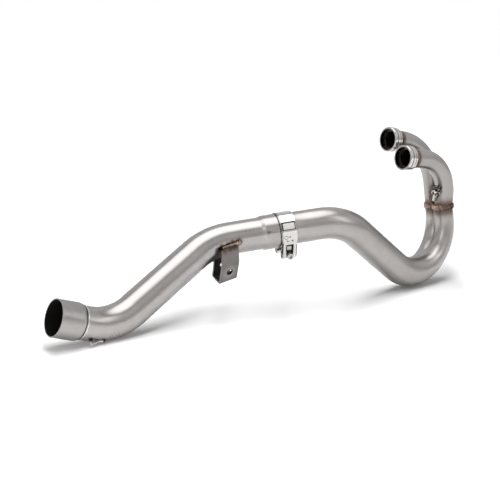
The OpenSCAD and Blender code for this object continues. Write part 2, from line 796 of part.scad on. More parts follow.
// Fine bead from the sleeve's small end down to the pipe
module sleeve_weld() {
  width = 1.4;
  rise = sleeve_over / 2;
  color(heat)
    aim(outlet + outlet_dir * sleeve_len, outlet_dir)
      rotate_extrude()
        polygon([
          [pipe_r + rise * 0.1, -width], [pipe_r + rise * 0.2, -width], [pipe_r + rise * 0.26, 0],
          [pipe_r + rise * 0.2, width * 0.7], [pipe_r + touch, width], [pipe_r + touch, 0],
          [pipe_r + rise * 0.048, -width / 2]
        ]);
}

// Spring hook: a wire eye under the neck, with its tail along the pipe
hook_from = 1.5;                                // angle into the heel bend where the eye's wire stands
hook_tail = 11;                                // angle from there to the end of its tail
hook_roll = 38;                                // turn of the hook from below to the near side
hook_eye = 10;                                 // depth of the eye
heel_lead = lead(outlet, heel_corner, knee_corner, heel_bend);
heel_out = square_to(unit(knee_corner - heel_corner), outlet_dir);
function heel_dir(a) = outlet_dir * cos(max(0, a)) + heel_out * sin(max(0, a));
function heel_point(a) = let (b = max(0, a)) heel_corner - outlet_dir * heel_lead
  + (outlet_dir * sin(b) + heel_out * (1 - cos(b))) * heel_bend
  + outlet_dir * heel_bend * min(0, a) * PI / 180;
function hook_point(a, g) = heel_point(a)
  + square_to([0, -sin(hook_roll), -cos(hook_roll)], heel_dir(a)) * (pipe_r + g);

hook_path = [
  hook_point(hook_from, wire_r + touch),
  hook_point(hook_from - 1, hook_eye - wire_r),
  hook_point(hook_from + 6.5, wire_r + touch),
  hook_point(hook_from + hook_tail, wire_r + touch)
];
hook_bends = [1.7, 3];

module spring_hook() {
  color(polished)
    run(hook_path, hook_bends, wire_r);
}

// One tack at each end of the wire, a dome that stands on the pipe and lies round the wire
module tack(a, from, to) {
  along = unit(to - from);
  out = unit(hook_point(a, 1) - heel_point(a));
  color(heat)
    difference() {
      translate(hook_point(a, wire_r - 0.6))
        sphere(r = wire_r + 1);
      aim(hook_point(a, touch), -out)
        cylinder(h = 2 * wire_d, r = 2 * wire_d);
      aim(from - along * wire_d, along)
        cylinder(h = norm(to - from) + 2 * wire_d, r = wire_r + touch);
    }
}

module hook_weld() {
  tack(hook_from, hook_path[0], hook_path[1]);
  tack(hook_from + hook_tail - 0.5, hook_path[2], hook_path[3]);
}

inlet_collar_near();
inlet_collar_far();
collar_weld_near();
collar_weld_far();
primary_tube_near();
primary_tube_far();
seam_weld_rear();
seam_weld_front();
test_port_boss();
test_port_plug();
collector_weld();
down_pipe();
link_pipe();
clamp_band();
clamp_bar_plain();
clamp_bar_threaded();
clamp_bolt();
mount_bracket();
bracket_weld_near();
bracket_weld_far();
outlet_sleeve();
sleeve_weld();
spring_hook();
hook_weld();
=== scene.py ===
"""Looks of the stainless exhaust header: tube, collars, heat-tinted weld beads, clamp and bracket."""

import bpy, bmesh
import json
import math
from mathutils import Matrix, Vector

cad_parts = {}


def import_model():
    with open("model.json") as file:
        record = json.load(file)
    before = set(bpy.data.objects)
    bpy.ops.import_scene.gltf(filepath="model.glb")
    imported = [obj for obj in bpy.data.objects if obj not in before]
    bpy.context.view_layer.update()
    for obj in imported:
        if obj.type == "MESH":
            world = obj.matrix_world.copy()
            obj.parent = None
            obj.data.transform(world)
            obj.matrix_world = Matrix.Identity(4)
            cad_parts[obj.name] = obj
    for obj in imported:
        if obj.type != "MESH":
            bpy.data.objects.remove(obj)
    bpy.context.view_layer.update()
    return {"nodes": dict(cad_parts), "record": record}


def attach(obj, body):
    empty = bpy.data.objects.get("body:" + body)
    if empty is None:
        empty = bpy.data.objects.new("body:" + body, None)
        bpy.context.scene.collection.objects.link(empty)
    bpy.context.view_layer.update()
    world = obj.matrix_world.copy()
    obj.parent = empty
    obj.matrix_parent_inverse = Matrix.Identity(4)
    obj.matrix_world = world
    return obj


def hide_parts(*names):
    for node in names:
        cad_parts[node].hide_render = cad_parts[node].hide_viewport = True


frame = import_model()
SCENE = bpy.context.scene
MM = 0.001


def vec(*xyz):
    return Vector(xyz)


def square_to(v, d):
    """The part of v that is square to d, as a unit vector."""
    return (v - d * v.dot(d)).normalized()


UP = vec(0, 0, 1)

# Where the header meets the machine, in millimetres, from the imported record's mounts
MOUNTS = {mount["name"]: mount for mount in frame["record"]["mounts"]}


def mount_place(name):
    return Vector(MOUNTS[name]["pos_m"]) / MM


def mount_axis(name):
    return Vector(MOUNTS[name]["axis"]).normalized()


NEAR_PORT, FAR_PORT, OUTLET = mount_place("inlet_near"), mount_place("inlet_far"), mount_place("outlet")
PORT_DIR = -mount_axis("inlet_near")
BRACKET_ACROSS = -mount_axis("bracket_hole")
HOLE_HALF = MOUNTS["bracket_hole"]["dims"]["length_mm"] / 2
HOLE = mount_place("bracket_hole") - BRACKET_ACROSS * HOLE_HALF

# Sizes and centre line corners of the part's source, in millimetres and degrees
NEAR_REACH, FAR_REACH = 105, 97
RING_DROP = 95
RING = vec(NEAR_REACH - 2.5, 17, -RING_DROP)
LOW, LOW_BEND = vec(118, 0, -287), 79
HIGH, HIGH_BEND = vec(-142, -24, -84), 91
KNEE, KNEE_BEND = vec(-350, 38, -105), 110
HEEL = vec(-524, 19, -206)
PIPE_R, TUBE_R, WALL = 25.0, 16.0, 1.5
COLLAR_LIP, COLLAR_BAND_END, COLLAR_LEN = 5.0, 11.0, 20.0
LOBE_TURN, LOBE_TWIST = math.radians(10), math.radians(9)
LOBE_LAP, LOBE_OVER = 6.0, 0.1
LOBE_MID = TUBE_R - LOBE_LAP / 2
LOBE_REACH, LOBE_FADE = 0.8, 0.75
CLAMP_AT, CLAMP_WIDTH = 121.0, 23.0
SOCKET_LEN = 52.0
BEAD = 2.6
BRACKET_BACK, BRACKET_LEN, BRACKET_SIDE, BRACKET_DEPTH = 10, 31, 39, 23
BRACKET_YAW, BRACKET_PITCH = math.radians(2), math.radians(9)
GROUND = -222.4

# Directions and points worked out from them
RING_DIR = (RING - LOW).normalized()
JOINT_DIR = (HIGH - KNEE).normalized()
OUTLET_DIR = (HEEL - OUTLET).normalized()
LOBE_DIR = square_to(vec(math.sin(LOBE_TURN), math.cos(LOBE_TURN), 0), RING_DIR)
NEAR_FOOT, FAR_FOOT = RING - LOBE_DIR * LOBE_MID, RING + LOBE_DIR * LOBE_MID
NEAR_LEG = (NEAR_PORT + PORT_DIR * NEAR_REACH - NEAR_FOOT).normalized()
FAR_LEG = (FAR_PORT + PORT_DIR * FAR_REACH - FAR_FOOT).normalized()

# Camera at the photograph's viewing angle
CAMERA_AT = vec(-1105.3, -1238.8, 244.2)
CAMERA_YAW, CAMERA_PITCH = math.radians(33), math.radians(13.7355)


def set_camera():
    lens = bpy.data.cameras.new("camera")
    lens.sensor_width = 36
    lens.lens = 72
    lens.clip_end = 20
    eye = bpy.data.objects.new("camera", lens)
    SCENE.collection.objects.link(eye)
    level = vec(math.sin(CAMERA_YAW), math.cos(CAMERA_YAW), 0)
    forward = level * math.cos(CAMERA_PITCH) - UP * math.sin(CAMERA_PITCH)
    right = forward.cross(UP).normalized()
    turn = Matrix((right, right.cross(forward), -forward)).transposed().to_4x4()
    eye.matrix_world = Matrix.Translation(CAMERA_AT * MM) @ turn
    SCENE.camera = eye


set_camera()

# Node helpers. A value is a constant or another node's output
NUMBER, ARROW = "NodeSocketFloat", "NodeSocketVector"
MIX_FACTOR, MIX_A, MIX_B, MIX_RESULT = 0, 6, 7, 2


def rgba(colour):
    return (*colour, 1)


def feed(tree, socket, value):
    if isinstance(value, bpy.types.NodeSocket):
        tree.links.new(value, socket)
    else:
        socket.default_value = value


def node(tree, kind, **inputs):
    made = tree.nodes.new(kind)
    for key, value in inputs.items():
        feed(tree, made.inputs[key.replace("_", " ")], value)
    return made


def math_node(tree, operation, *values, clamp=False):
    made = tree.nodes.new("ShaderNodeMath")
    made.operation = operation
    made.use_clamp = clamp
    for socket, value in zip(made.inputs, values):
        feed(tree, socket, value)
    return made.outputs[0]


def vector_node(tree, operation, *values):
    made = tree.nodes.new("ShaderNodeVectorMath")
    made.operation = operation
    for socket, value in zip(made.inputs, values):
        feed(tree, socket, value)
    return made.outputs["Value" if operation in ("DISTANCE", "DOT_PRODUCT", "LENGTH") else "Vector"]


def object_place(tree):
    return tree.nodes.new("ShaderNodeTexCoord").outputs["Object"]


def noise(tree, place, scale, detail, roughness=0.5):
    made = node(tree, "ShaderNodeTexNoise", Vector=place, Scale=scale, Detail=detail, Roughness=roughness)
    return made.outputs["Fac"]


def centred(tree, value, width):
    """value, which varies round a half, made to vary round zero over the given width."""
    return math_node(tree, "MULTIPLY", math_node(tree, "SUBTRACT", value, 0.5), width)


def falloff(tree, distance, near, far):
    """One up to near, none beyond far, and a smooth change between them."""
    made = node(tree, "ShaderNodeMapRange", Value=distance, From_Min=near, From_Max=far,
                To_Min=1.0, To_Max=0.0)
    made.interpolation_type = "SMOOTHSTEP"
    return made.outputs["Result"]


def ramp(tree, fac, stops):
    made = node(tree, "ShaderNodeValToRGB", Fac=fac)
    band = made.color_ramp
    while len(band.elements) < len(stops):
        band.elements.new(0.5)
    for element, (place, colour) in zip(band.elements, stops):
        element.position = place
        element.color = rgba(colour)
    return made.outputs["Color"]


def mix_colour(tree, fac, a, b, blend="MIX"):
    made = tree.nodes.new("ShaderNodeMix")
    made.data_type = "RGBA"
    made.blend_type = blend
    for key, value in ((MIX_FACTOR, fac), (MIX_A, a), (MIX_B, b)):
        feed(tree, made.inputs[key], rgba(value) if isinstance(value, tuple) else value)
    return made.outputs[MIX_RESULT]


def material(name, metallic=None):
    made = bpy.data.materials.new(name)
    made.use_nodes = True
    tree = made.node_tree
    shader = tree.nodes["Principled BSDF"]
    if metallic is not None:
        shader.inputs["Metallic"].default_value = metallic
    return made, tree, shader


def add_relief(tree, shader, height, strength, distance):
    relief = node(tree, "ShaderNodeBump", Height=height, Strength=strength, Distance=distance)
    tree.links.new(relief.outputs["Normal"], shader.inputs["Normal"])


def group(name, inputs, outputs=(("Mask", NUMBER),), kind="ShaderNodeTree"):
    tree = bpy.data.node_groups.new(name, kind)
    for label, socket_type, value in inputs:
        socket = tree.interface.new_socket(name=label, in_out="INPUT", socket_type=socket_type)
        if value is not None:
            socket.default_value = value
    for label, socket_type in outputs:
        tree.interface.new_socket(name=label, in_out="OUTPUT", socket_type=socket_type)
    return tree, tree.nodes.new("NodeGroupInput").outputs, tree.nodes.new("NodeGroupOutput").inputs


def use(tree, made_group, inputs):
    made = tree.nodes.new("ShaderNodeGroup")
    made.node_tree = made_group
    for label, value in inputs.items():
        made.inputs[label].default_value = value
    return made.outputs


# Grain of drawn and brushed tube: fine cloudy mottling with short scratches
def make_grain():
    tree, given, out = group("metal_grain", [("Scale", NUMBER, 60.0)],
                             [("Clouds", NUMBER), ("Scratches", NUMBER)])
    place = object_place(tree)
    stretch = node(tree, "ShaderNodeMapping", Vector=place, Scale=(1.0, 0.35, 14.0), Rotation=(0.3, 0.5, 0.2))
    feed(tree, out["Clouds"], noise(tree, place, given["Scale"], 4.0, 0.55))
    feed(tree, out["Scratches"], noise(tree, stretch.outputs["Vector"], 60.0, 2.0))
    return tree


# Heat tint round a point: one up to near, none beyond far
def make_tint():
    tree, given, out = group("heat_tint", [("Middle", ARROW, None),
                                           ("Near", NUMBER, 0.02), ("Far", NUMBER, 0.03)])
    place = object_place(tree)
    away = vector_node(tree, "DISTANCE", place, given["Middle"])
    ragged = centred(tree, noise(tree, place, 90.0, 3.0), 0.006)
    feed(tree, out["Mask"], falloff(tree, math_node(tree, "ADD", away, ragged), given["Near"], given["Far"]))
    return tree


# Heat tint beside a plane across a tube, such as a ring weld's
def make_band():
    tree, given, out = group("heat_band", [("Middle", ARROW, None), ("Across", ARROW, None),
                                           ("Reach", NUMBER, 0.006), ("Within", NUMBER, 0.05)])
    place = object_place(tree)
    off = vector_node(tree, "SUBTRACT", place, given["Middle"])
    depth = math_node(tree, "ABSOLUTE", vector_node(tree, "DOT_PRODUCT", off, given["Across"]))
    ragged = centred(tree, noise(tree, place, 120.0, 2.0), 0.004)
    fall = falloff(tree, math_node(tree, "ADD", depth, ragged), 0.001, given["Reach"])
    inside = math_node(tree, "LESS_THAN", vector_node(tree, "LENGTH", off), given["Within"])
    feed(tree, out["Mask"], math_node(tree, "MULTIPLY", fall, inside))
    return tree


# Painted shade inside a tube's bore: one within a radius of its axis, down to a depth from its mouth
def make_bore_shade():
    tree, given, out = group("bore_shade_mask", [("Middle", ARROW, None), ("Axis", ARROW, None),
                                           ("Radius", NUMBER, 0.018), ("Depth", NUMBER, 0.05)])
    off = vector_node(tree, "SUBTRACT", object_place(tree), given["Middle"])
    aside = vector_node(tree, "LENGTH", vector_node(tree, "CROSS_PRODUCT", off, given["Axis"]))
    depth = math_node(tree, "ABSOLUTE", vector_node(tree, "DOT_PRODUCT", off, given["Axis"]))
    near = math_node(tree, "LESS_THAN", depth, given["Depth"])
    inside = math_node(tree, "LESS_THAN", aside, given["Radius"])
    feed(tree, out["Mask"], math_node(tree, "MULTIPLY", near, inside))
    return tree


# Painted shade: a narrow dark line round a tube, in a turned groove
def make_groove_shade():
    tree, given, out = group("groove_shade_line", [("Middle", ARROW, None), ("Across", ARROW, None),
                                           ("Half width", NUMBER, 0.0006)])
    off = vector_node(tree, "SUBTRACT", object_place(tree), given["Middle"])
    depth = math_node(tree, "ABSOLUTE", vector_node(tree, "DOT_PRODUCT", off, given["Across"]))
    feed(tree, out["Mask"], math_node(tree, "LESS_THAN", depth, given["Half width"]))
    return tree


# Ring or dot round a point, with a crisp edge: a spot weld's rim, a pressed pip, or painted shade round a
# hole's edge
def make_pip_or_shade():
    tree, given, out = group("pip_or_shade_ring", [("Middle", ARROW, None),
                                             ("Inner", NUMBER, 0.0), ("Outer", NUMBER, 0.001)])
    away = vector_node(tree, "DISTANCE", object_place(tree), given["Middle"])
    inside = math_node(tree, "LESS_THAN", away, given["Outer"])
    outside = math_node(tree, "GREATER_THAN", away, given["Inner"])
    feed(tree, out["Mask"], math_node(tree, "MULTIPLY", inside, outside))
    return tree


GRAIN, TINT, BAND = make_grain(), make_tint(), make_band()
BORE_SHADE, GROOVE_SHADE, PIP_OR_SHADE = make_bore_shade(), make_groove_shade(), make_pip_or_shade()


# Marks on the metal, with their places and sizes in millimetres: each is a mask group and its inputs
def tint_mark(middle, near, far):
    return TINT, {"Middle": middle * MM, "Near": near * MM, "Far": far * MM}


def band_mark(middle, across, reach, within):
    return BAND, {"Middle": middle * MM, "Across": across, "Reach": reach * MM, "Within": within * MM}


def bore_shade_mark(middle, axis, radius, depth):
    return BORE_SHADE, {"Middle": middle * MM, "Axis": axis, "Radius": radius * MM, "Depth": depth * MM}


def groove_shade_mark(middle, across, half_width):
    return GROOVE_SHADE, {"Middle": middle * MM, "Across": across, "Half width": half_width * MM}


def pip_or_shade_mark(middle, inner, outer):
    return PIP_OR_SHADE, {"Middle": middle * MM, "Inner": inner * MM, "Outer": outer * MM}


def mask_of(tree, marks):
    """The strongest of the marks' masks."""
    masks = [use(tree, made_group, inputs)["Mask"] for made_group, inputs in marks]
    total = masks[0]
    for mask in masks[1:]:
        total = math_node(tree, "MAXIMUM", total, mask)
    return total


# Satin stainless steel, with brown heat tint where welds lie
WHITE = (1, 1, 1)
HEAT_STOPS = [(0.0, WHITE), (0.3, (0.78, 0.72, 0.67)), (0.6, (0.40, 0.32, 0.28)), (1.0, (0.13, 0.085, 0.07))]
HEAT_SHARE = 0.9
SCRATCH_STOPS, SCRATCH_SHARE = [(0.35, (0.93, 0.93, 0.93)), (0.6, WHITE)], 0.25
SCRATCH_DEPTH, ROUGH_SPREAD = 0.0002, 0.05
CLOUD_SCALE, CLOUD_DARK, CLOUD_LIGHT = 55.0, 0.93, 1.04
# Painted shade inside the bores: its near black colour and the roughness it adds
BORE_SHADE_COLOUR, BORE_SHADE_ROUGHNESS = (0.035, 0.032, 0.030), 0.25
# Near black of the clamp's spot welds, and of the painted shade round the bolt hole
PIP_AND_SHADE_COLOUR = (0.03, 0.027, 0.025)


def satin_steel(name, colour, rough, heat=(), shaded_bore=(), painted_sheen=(), pips_and_shade=(), bump=0.003):
    """The sheen marks hold painted sheen, each with the colour that it shows; heat holds heat tint marks, the
    bore marks hold painted shade inside bores, and the dot marks hold spot welds and painted shade round a
    hole.
    """
    made, tree, shader = material(name, metallic=1.0)
    grain = use(tree, GRAIN, {"Scale": CLOUD_SCALE})
    darker = tuple(c * CLOUD_DARK for c in colour)
    lighter = tuple(min(1, c * CLOUD_LIGHT) for c in colour)
    tone = ramp(tree, grain["Clouds"], [(0.3, darker), (0.7, lighter)])
    scratched = ramp(tree, grain["Scratches"], SCRATCH_STOPS)
    tone = mix_colour(tree, SCRATCH_SHARE, tone, scratched, "MULTIPLY")
    gloss = math_node(tree, "ADD", centred(tree, grain["Clouds"], ROUGH_SPREAD), rough)
    if heat:
        tone = mix_colour(tree, HEAT_SHARE, tone, ramp(tree, mask_of(tree, heat), HEAT_STOPS), "MULTIPLY")
    # Painted shade inside the bores
    if shaded_bore:
        black = mask_of(tree, shaded_bore)
        tone = mix_colour(tree, black, tone, BORE_SHADE_COLOUR)
        gloss = math_node(tree, "ADD", gloss, math_node(tree, "MULTIPLY", black, BORE_SHADE_ROUGHNESS))
    # Painted sheen patches, each with its colour
    for mark, light in painted_sheen:
        tone = mix_colour(tree, mask_of(tree, [mark]), tone, light)
    # Spot welds, and painted shade round the bolt hole
    if pips_and_shade:
        tone = mix_colour(tree, mask_of(tree, pips_and_shade), tone, PIP_AND_SHADE_COLOUR)
    feed(tree, shader.inputs["Base Color"], tone)
    feed(tree, shader.inputs["Roughness"], gloss)
    add_relief(tree, shader, grain["Scratches"], bump, SCRATCH_DEPTH)
    return made


# Turned collar: bright, with fine lathe rings round its axis, painted shade in its grooves and inside its
# bore, and a brown end at the weld
COLLAR_STOPS = [(0.3, (0.55, 0.535, 0.52)), (0.7, (0.66, 0.645, 0.63))]
# Colours of the heat-tinted end, of the painted shade in the grooves and of the painted shade inside the bore
COLLAR_BROWN, COLLAR_GROOVE_SHADE, COLLAR_BORE_SHADE = (0.24, 0.165, 0.12), (0.05, 0.043, 0.04), (0.075, 0.062, 0.057)
COLLAR_GROOVES = [(COLLAR_LIP + 0.8, 0.75), (COLLAR_BAND_END + 0.9, 0.9), (COLLAR_LEN - 3.6, 0.5)]
LATHE_WAVES = 14000.0        # radians per metre along the axis


def turned_steel(name, middle):
    made, tree, shader = material(name, metallic=1.0)
    off = vector_node(tree, "SUBTRACT", object_place(tree), middle * MM)
    along = vector_node(tree, "DOT_PRODUCT", off, PORT_DIR)
    rings = math_node(tree, "SINE", math_node(tree, "MULTIPLY", along, LATHE_WAVES))
    grain = use(tree, GRAIN, {"Scale": 120.0})
    tone = ramp(tree, grain["Clouds"], COLLAR_STOPS)
    browned = mask_of(tree, [band_mark(middle + PORT_DIR * (COLLAR_LEN + 1), PORT_DIR, 7, 30)])
    tone = mix_colour(tree, browned, tone, COLLAR_BROWN)
    # Painted shade in the turned grooves
    groove_shades = [groove_shade_mark(middle + PORT_DIR * at, PORT_DIR, half) for at, half in COLLAR_GROOVES]
    tone = mix_colour(tree, mask_of(tree, groove_shades), tone, COLLAR_GROOVE_SHADE)
    # Painted shade inside the collar's bore
    shaded_bore = mask_of(tree, [bore_shade_mark(middle, PORT_DIR, 18.15, 30)])
    feed(tree, shader.inputs["Base Color"], mix_colour(tree, shaded_bore, tone, COLLAR_BORE_SHADE))
    feed(tree, shader.inputs["Roughness"], math_node(tree, "MULTIPLY", grain["Clouds"], 0.24))
    add_relief(tree, shader, rings, 0.10, 0.0001)
    return made


# Weld metal: its own colour, with painted highlight on the ripples' crests and painted shade in the valleys
# between them
def weld_metal(name, light, deep):
    made, tree, shader = material(name, metallic=0.9)
    # Painted light and shade of the ripples, from each scale's attribute
    ripple_shading = tree.nodes.new("ShaderNodeAttribute")
    ripple_shading.attribute_name = "ripple_shading"
    spots = noise(tree, object_place(tree), 260.0, 3.0, 0.6)
    blend = math_node(tree, "ADD", math_node(tree, "MULTIPLY", ripple_shading.outputs["Fac"], 0.7),
                      math_node(tree, "MULTIPLY", spots, 0.45))
    middle = tuple((a + b) / 2 for a, b in zip(light, deep))
    feed(tree, shader.inputs["Base Color"], ramp(tree, blend, [(0.36, deep), (0.62, middle), (0.98, light)]))
    shader.inputs["Roughness"].default_value = 0.27
    add_relief(tree, shader, spots, 0.25, 0.0003)
    return made


# Plug steel: painted reflections, black in patches and bright between them
def painted_glint_steel(name):
    made, tree, shader = material(name, metallic=1.0)
    glint_patches = noise(tree, object_place(tree), 330.0, 1.0)
    tone = ramp(tree, glint_patches, [(0.49, (0.012, 0.010, 0.010)), (0.60, (0.74, 0.70, 0.66))])
    feed(tree, shader.inputs["Base Color"], tone)
    shader.inputs["Roughness"].default_value = 0.14
    add_relief(tree, shader, glint_patches, 0.2, 0.0003)
    return made


# Places round the clamp and on the strap's straight leg
CLAMP_MID = KNEE + JOINT_DIR * CLAMP_AT
CLAMP_ROLL, LEG_ANGLE = math.radians(6), math.radians(195.85)
ACROSS = UP.cross(JOINT_DIR).normalized()
ABOVE = JOINT_DIR.cross(ACROSS)
CLAMP_X = ACROSS * math.cos(CLAMP_ROLL) + ABOVE * math.sin(CLAMP_ROLL)
CLAMP_Y = ABOVE * math.cos(CLAMP_ROLL) - ACROSS * math.sin(CLAMP_ROLL)
LEG_OUT = CLAMP_X * math.cos(LEG_ANGLE) + CLAMP_Y * math.sin(LEG_ANGLE)
LEG_DOWN = JOINT_DIR.cross(LEG_OUT)
BAND_FACE = 28.5


def on_clamp(degrees, along, r):
    """A point round the joint: 90 degrees is its top, 180 its near side; along runs forward."""
    a = math.radians(degrees)
    return CLAMP_MID + JOINT_DIR * along + (CLAMP_X * math.cos(a) + CLAMP_Y * math.sin(a)) * r


def on_leg(down, along, out):
    """A point on the strap's straight leg, down from where it leaves the band."""
    return CLAMP_MID + JOINT_DIR * along + LEG_OUT * (BAND_FACE + out) + LEG_DOWN * down


# Ends of the bracket's two welds, on the skin of the link pipe's knee bend
KNEE_LEAD = KNEE_BEND * math.tan((KNEE - HEEL).angle(HIGH - KNEE) / 2)
KNEE_IN = square_to(HEEL - KNEE, JOINT_DIR)
BRACKET_LONG = vec(math.cos(BRACKET_YAW) * math.cos(BRACKET_PITCH),
                   math.sin(BRACKET_YAW) * math.cos(BRACKET_PITCH), math.sin(BRACKET_PITCH))
BRACKET_UP = BRACKET_LONG.cross(BRACKET_ACROSS)
WELD_HALF = BRACKET_LEN / 2 - 1
FAR_WELD_SIDE = BRACKET_DEPTH - BRACKET_SIDE + 1


def knee_way(degrees):
    """Direction of the link pipe, so many degrees back round its knee bend. Below zero is ahead of it."""
    a = math.radians(max(0, degrees))
    return JOINT_DIR * math.cos(a) - KNEE_IN * math.sin(a)


def knee_point(degrees):
    a = math.radians(max(0, degrees))
    along = KNEE_LEAD - KNEE_BEND * (math.radians(min(0, degrees)) + math.sin(a))
    return KNEE + JOINT_DIR * along + KNEE_IN * KNEE_BEND * (1 - math.cos(a))


def near_weld_end(degrees, below):
    """A point just off the pipe's near side, an angle below its middle height."""
    way = knee_way(degrees)
    near = way.cross(UP).normalized()
    below = math.radians(below)
    return knee_point(degrees) + (near * math.cos(below) - near.cross(way) * math.sin(below)) * (PIPE_R + 1.5)


def far_weld_end(along):
    """Where the far flange meets the underside of the pipe."""
    way = knee_way(BRACKET_BACK)
    flat = BRACKET_LONG * along + BRACKET_ACROSS * FAR_WELD_SIDE
    k, e = BRACKET_UP.dot(way), flat.dot(way)
    rest = 1 - k * k
    square = (e * k) ** 2 - rest * (flat.dot(flat) - e * e - (PIPE_R + 1) ** 2)
    return knee_point(BRACKET_BACK) + flat + BRACKET_UP * (e * k - math.sqrt(square)) / rest


NEAR_WELD = near_weld_end(12, 9), near_weld_end(-4, 2.5)
FAR_WELD = far_weld_end(-WELD_HALF), far_weld_end(WELD_HALF)

# Heat tint, painted shade inside the bores, painted sheen and painted shade round the bolt hole, and the
# clamp's pressed marks
NECK_HEAT = [band_mark(RING, RING_DIR, 22, 48)]
PORT_HEAT = [band_mark(port + PORT_DIR * (COLLAR_LEN + 2), PORT_DIR, 10, 26)
             for port in (NEAR_PORT, FAR_PORT)]
SEAM_HEAT = [tint_mark(RING + vec(-13, 1, 8 * k), 6, 17) for k in (1, 2, 3, 4)]
BRACKET_SPOTS = [a.lerp(b, share) for a, b in (NEAR_WELD, FAR_WELD) for share in (0.0, 0.33, 0.66, 1.0)]
LINK_HEAT = [tint_mark(spot, 3, 9) for spot in BRACKET_SPOTS]
BRACKET_HEAT = [tint_mark(spot, 3, 14) for spot in BRACKET_SPOTS]
# Painted shade inside the ports' and the outlet's bores
PORT_BORE_SHADE = [bore_shade_mark(port, PORT_DIR, 15.2, 30) for port in (NEAR_PORT, FAR_PORT)]
LINK_BORE_SHADE = [bore_shade_mark(OUTLET, OUTLET_DIR, 23.6, 60)]
SLEEVE_BORE_SHADE = [bore_shade_mark(OUTLET, OUTLET_DIR, 26.1, 60)]
# Painted sheen: the bracket lighter round its bolt hole
BOLT_SHEEN = [(tint_mark(HOLE, 5, 19), (0.30, 0.285, 0.275))]
# Painted shade: a dark ring round the bolt hole's edge
BOLT_RIM_SHADE = [pip_or_shade_mark(HOLE, 4.3, 5.6)]
CLAMP_PIPS = [pip_or_shade_mark(on_clamp(degrees, along, BAND_FACE), inner, outer)
              for degrees, along, inner, outer in ((187, -6.5, 2.3, 3.1), (186.5, -0.6, 0.0, 1.35),
                                                   (200.5, 3.6, 0.0, 1.45), (200.5, -4.2, 0.0, 1.3))]

STEEL = (0.395, 0.375, 0.366)
MATERIALS = {
    "tube": satin_steel("drawn_tube", STEEL, 0.32, heat=NECK_HEAT),
    "primary": satin_steel("primary_tube", STEEL, 0.36, heat=SEAM_HEAT + NECK_HEAT + PORT_HEAT,
                           shaded_bore=PORT_BORE_SHADE),
    "link": satin_steel("link_tube", STEEL, 0.28, heat=LINK_HEAT, shaded_bore=LINK_BORE_SHADE),
    "sleeve": satin_steel("outlet_sleeve_steel", (0.365, 0.35, 0.342), 0.37, shaded_bore=SLEEVE_BORE_SHADE),
    "clamp": satin_steel("clamp_strip", (0.60, 0.585, 0.575), 0.14, pips_and_shade=CLAMP_PIPS),
    "bar": satin_steel("clamp_bar_steel", (0.05, 0.047, 0.045), 0.25),
    "bolt": satin_steel("clamp_bolt_steel", (0.42, 0.41, 0.40), 0.22),
    "bracket": satin_steel("bracket_sheet", (0.185, 0.170, 0.165), 0.40, heat=BRACKET_HEAT, painted_sheen=BOLT_SHEEN,
                           pips_and_shade=BOLT_RIM_SHADE, bump=0.05),
    "plug": painted_glint_steel("plug_steel"),
    "boss": satin_steel("boss_steel", (0.58, 0.55, 0.51), 0.30),
    "wire": satin_steel("hook_wire", (0.52, 0.50, 0.48), 0.18),
    # Painted highlight: a much lighter copy of the clamp's steel for the bright lap
    "lap": satin_steel("clamp_lap_sheen", (0.88, 0.86, 0.84), 0.36),
    # Near black for painted shade on the clamp
    "slot": satin_steel("pressed_slot", (0.012, 0.011, 0.010), 0.55),
    "collar_near": turned_steel("turned_collar_near", NEAR_PORT),
    "collar_far": turned_steel("turned_collar_far", FAR_PORT),
    # Weld colours: light is the painted highlight on the crests, deep the painted shade in the valleys
    "ring_weld": weld_metal("ring_weld_metal", light=(0.54, 0.36, 0.29), deep=(0.028, 0.013, 0.009)),
    "pale_weld": weld_metal("bracket_weld_metal", light=(0.95, 0.80, 0.66), deep=(0.06, 0.035, 0.025)),
    "port_weld": weld_metal("port_weld_metal", light=(0.34, 0.23, 0.17), deep=(0.035, 0.02, 0.015)),
    "fine_weld": weld_metal("sleeve_weld_metal", light=(0.72, 0.70, 0.68), deep=(0.62, 0.60, 0.58)),
}
FINISH = {
    "inlet_collar_near": "collar_near", "inlet_collar_far": "collar_far",
    "collar_weld_near": "port_weld", "collar_weld_far": "port_weld",
    "primary_tube_near": "primary", "primary_tube_far": "primary",
    "seam_weld_rear": "ring_weld", "seam_weld_front": "ring_weld",
    "test_port_boss": "boss", "test_port_plug": "plug",
    "collector_weld": "ring_weld", "down_pipe": "tube", "link_pipe": "link",
    "clamp_band": "clamp", "clamp_bar_plain": "bar", "clamp_bar_threaded": "bar", "clamp_bolt": "bolt",
    "mount_bracket": "bracket", "bracket_weld_near": "pale_weld", "bracket_weld_far": "pale_weld",
    "outlet_sleeve": "sleeve", "sleeve_weld": "fine_weld", "spring_hook": "wire", "hook_weld": "port_weld",
}
for name, part in frame["nodes"].items():
    part.data.materials.clear()
    part.data.materials.append(MATERIALS[FINISH[name]])


# Pieces made here
def piece(name, mesh, finish, replaced):
    made = bpy.data.objects.new(name, mesh)
    SCENE.collection.objects.link(made)
    mesh.materials.clear()
    mesh.materials.append(MATERIALS[finish])
    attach(made, "root")
    if replaced:
        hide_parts(*replaced)


def mesh_of(name, points, faces, smooth):
    mesh = bpy.data.meshes.new(name)
    mesh.from_pydata([tuple(p * MM) for p in points], [], faces)
    joined = bmesh.new()
    joined.from_mesh(mesh)
    bmesh.ops.remove_doubles(joined, verts=joined.verts, dist=1e-6)
    bmesh.ops.recalc_face_normals(joined, faces=joined.faces)
    for face in joined.faces:
        face.smooth = smooth
    joined.to_mesh(mesh)
    joined.free()
    return mesh


# The whole down pipe as one smooth skin: lobed neck, low bend, long straight, high bend and joint end
AROUND = 120
NECK_STEPS, BEND_STEPS = 2, 16
LOBED_STEPS = NECK_STEPS + BEND_STEPS
LOBED_RINGS, LOW_RINGS, HIGH_RINGS = 54, 12, 32
SLIP_OVERRUN = 6.0


